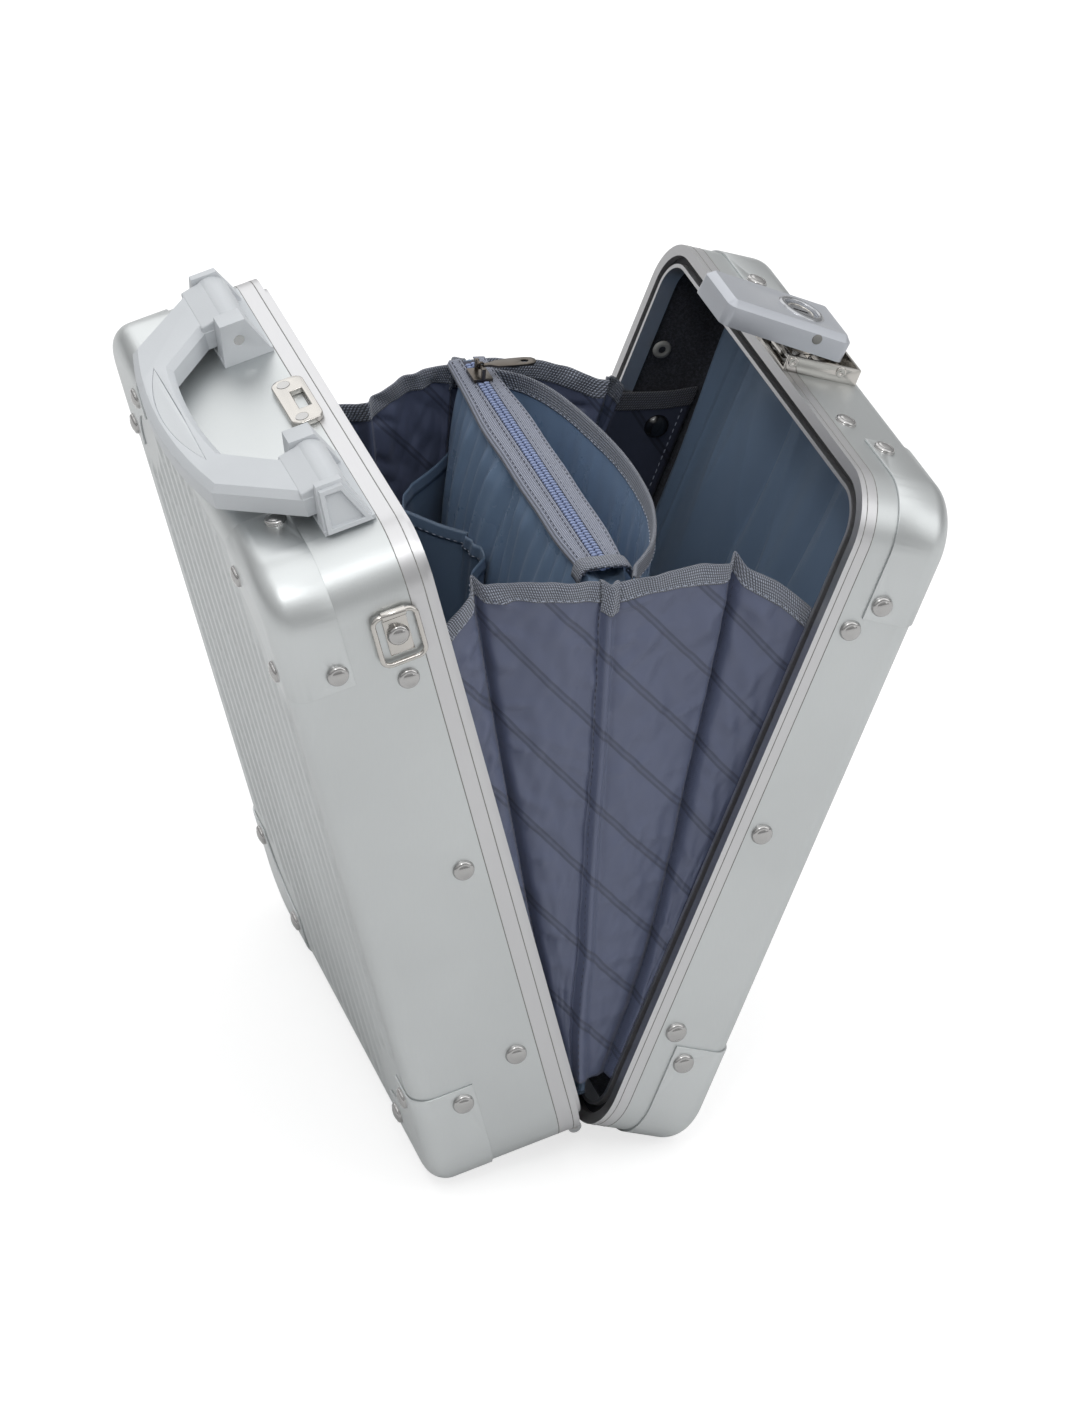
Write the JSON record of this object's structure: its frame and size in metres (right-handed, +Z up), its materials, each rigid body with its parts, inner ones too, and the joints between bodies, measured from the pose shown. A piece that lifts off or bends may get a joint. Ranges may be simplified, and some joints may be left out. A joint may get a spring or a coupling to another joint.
{
  "type": "laptop hard case",
  "caption": "Aluminium laptop hard case standing open as a V, with fabric gussets, a zip pocket divider, a folding handle, strap rings and a lever lock.",
  "frame": {"origin": "on the floor under the middle of the open case's bounding box", "axes": "+Z up, +Y along the hinge towards the far end, +X from the handle shell towards the lock shell"},
  "size_m": [0.3306, 0.2792, 0.3759],
  "materials": {
    "pan_aluminium": "satin",
    "frame_aluminium": "satin",
    "cap_aluminium": "satin",
    "rivet_steel": "polished",
    "hinge_steel": "satin",
    "handle_plastic": "satin",
    "insert_plastic": "satin",
    "nickel": "polished",
    "lock_plastic": "satin",
    "key_metal": "satin",
    "gasket_rubber": "matte",
    "lining_fabric": "woven",
    "gusset_fabric": "woven",
    "pocket_fabric": "satin",
    "zip_tape": "woven",
    "zip_coil": "satin",
    "bronze": "antique",
    "loop_fabric": "napped",
    "stud_black": "gloss"
  },
  "bodies": {
    "handle_shell": {"handle_pan": "pan_aluminium", "handle_frame": "frame_aluminium", "handle_lining": "lining_fabric", "handle_hinge_leaf": "hinge_steel", "handle_frame_rivets": "rivet_steel", "handle_cap_rivets": "rivet_steel", "handle_cap_bottom_near": "cap_aluminium", "handle_cap_top_near": "cap_aluminium", "handle_cap_bottom_far": "cap_aluminium", "handle_cap_top_far": "cap_aluminium", "hinge_pin": "rivet_steel", "bracket_near": "handle_plastic", "bracket_far": "handle_plastic", "ring_clip_near": "nickel", "ring_clip_far": "nickel", "ring_rivets": "rivet_steel", "handle_pins": "rivet_steel", "strike_plate": "nickel", "strike_screws": "rivet_steel", "gusset_near": "gusset_fabric", "gusset_far": "gusset_fabric", "hinge_cover": "lining_fabric"},
    "lock_shell": {"lock_pan": "pan_aluminium", "lock_frame": "frame_aluminium", "gasket": "gasket_rubber", "lock_lining": "lining_fabric", "lock_hinge_leaf": "hinge_steel", "lock_frame_rivets": "rivet_steel", "lock_cap_rivets": "rivet_steel", "lock_cap_bottom_near": "cap_aluminium", "lock_cap_top_near": "cap_aluminium", "lock_cap_bottom_far": "cap_aluminium", "lock_cap_top_far": "cap_aluminium", "lock_base": "nickel", "lock_base_rivets": "rivet_steel", "hook_pin": "rivet_steel", "link_foot_pin": "rivet_steel", "loop_panel": "loop_fabric", "press_studs": "stud_black"},
    "divider": {"zip_pocket": "pocket_fabric", "zip_tapes": "zip_tape", "zip_coil": "zip_coil", "pocket_flap": "pocket_fabric", "pen_pocket": "pocket_fabric"},
    "carry_handle": {"handle_bar": "handle_plastic", "grip_insert": "insert_plastic"},
    "lift_link": {"lift_link": "nickel", "link_head_pin": "rivet_steel"},
    "lock_lever": {"lock_housing": "lock_plastic"},
    "key_cylinder": {"key_cylinder": "key_metal"},
    "latch_hook": {"latch_hook": "nickel"},
    "zip_slider": {"zip_slider": "bronze"},
    "zip_pull": {"zip_pull": "bronze"},
    "strap_ring_near": {"strap_ring_near": "nickel"},
    "strap_ring_far": {"strap_ring_far": "nickel"}
  },
  "joints": [
    {"name": "case_hinge", "type": "hinge", "parent": "handle_shell", "child": "lock_shell", "pos_m": [-0.0048, 0, 0.01115], "axis": [0, 1, 0], "range_deg": [-34.8, 0], "deforming": ["gusset_near", "gusset_far", "hinge_cover"]},
    {"name": "divider_swing", "type": "hinge", "parent": "handle_shell", "child": "divider", "pos_m": [-0.0048, 0, 0.01115], "axis": [0, 1, 0], "range_deg": [-17.4, 0]},
    {"name": "handle_swing", "type": "hinge", "parent": "handle_shell", "child": "carry_handle", "pos_m": [-0.11214, 0, 0.35672], "axis": [0, 1, 0], "range_deg": [0, 95]},
    {"name": "link_lift", "type": "hinge", "parent": "lock_shell", "child": "lift_link", "pos_m": [0.15221, 0, 0.33052], "axis": [0, 1, 0], "range_deg": [-26, 35]},
    {"name": "housing_tilt", "type": "hinge", "parent": "lift_link", "child": "lock_lever", "pos_m": [0.14092, 0, 0.34551], "axis": [0, 1, 0], "range_deg": [-28, 20.8]},
    {"name": "key_turn", "type": "hinge", "parent": "lock_lever", "child": "key_cylinder", "pos_m": [0.13807, 0, 0.35738], "axis": [0.4493, 0, 0.8934], "range_deg": [0, 90]},
    {"name": "hook_swing", "type": "hinge", "parent": "lock_shell", "child": "latch_hook", "pos_m": [0.12895, 0, 0.33969], "axis": [0, 1, 0], "range_deg": [-26, 35]},
    {"name": "zip_slide", "type": "slide", "parent": "divider", "child": "zip_slider", "axis": [0, 1, 0], "range_m": [-0.186, 0]},
    {"name": "pull_flip", "type": "hinge", "parent": "zip_slider", "child": "zip_pull", "pos_m": [0.01587, 0.096, 0.29911], "axis": [0, 1, 0], "range_deg": [-165, 0]},
    {"name": "strap_ring_near_swing", "type": "hinge", "parent": "handle_shell", "child": "strap_ring_near", "pos_m": [-0.09754, -0.1373, 0.31753], "axis": [-0.9732, 0, -0.23], "range_deg": [0, 150]},
    {"name": "strap_ring_far_swing", "type": "hinge", "parent": "handle_shell", "child": "strap_ring_far", "pos_m": [-0.09754, 0.1373, 0.31753], "axis": [0.9732, 0, 0.23], "range_deg": [0, 150]}
  ],
  "couplings": [
    {"joint": "divider_swing", "follows": "case_hinge", "ratio": 0.5},
    {"joint": "housing_tilt", "follows": "link_lift", "ratio": -0.8},
    {"joint": "hook_swing", "follows": "link_lift", "ratio": 1}
  ]
}
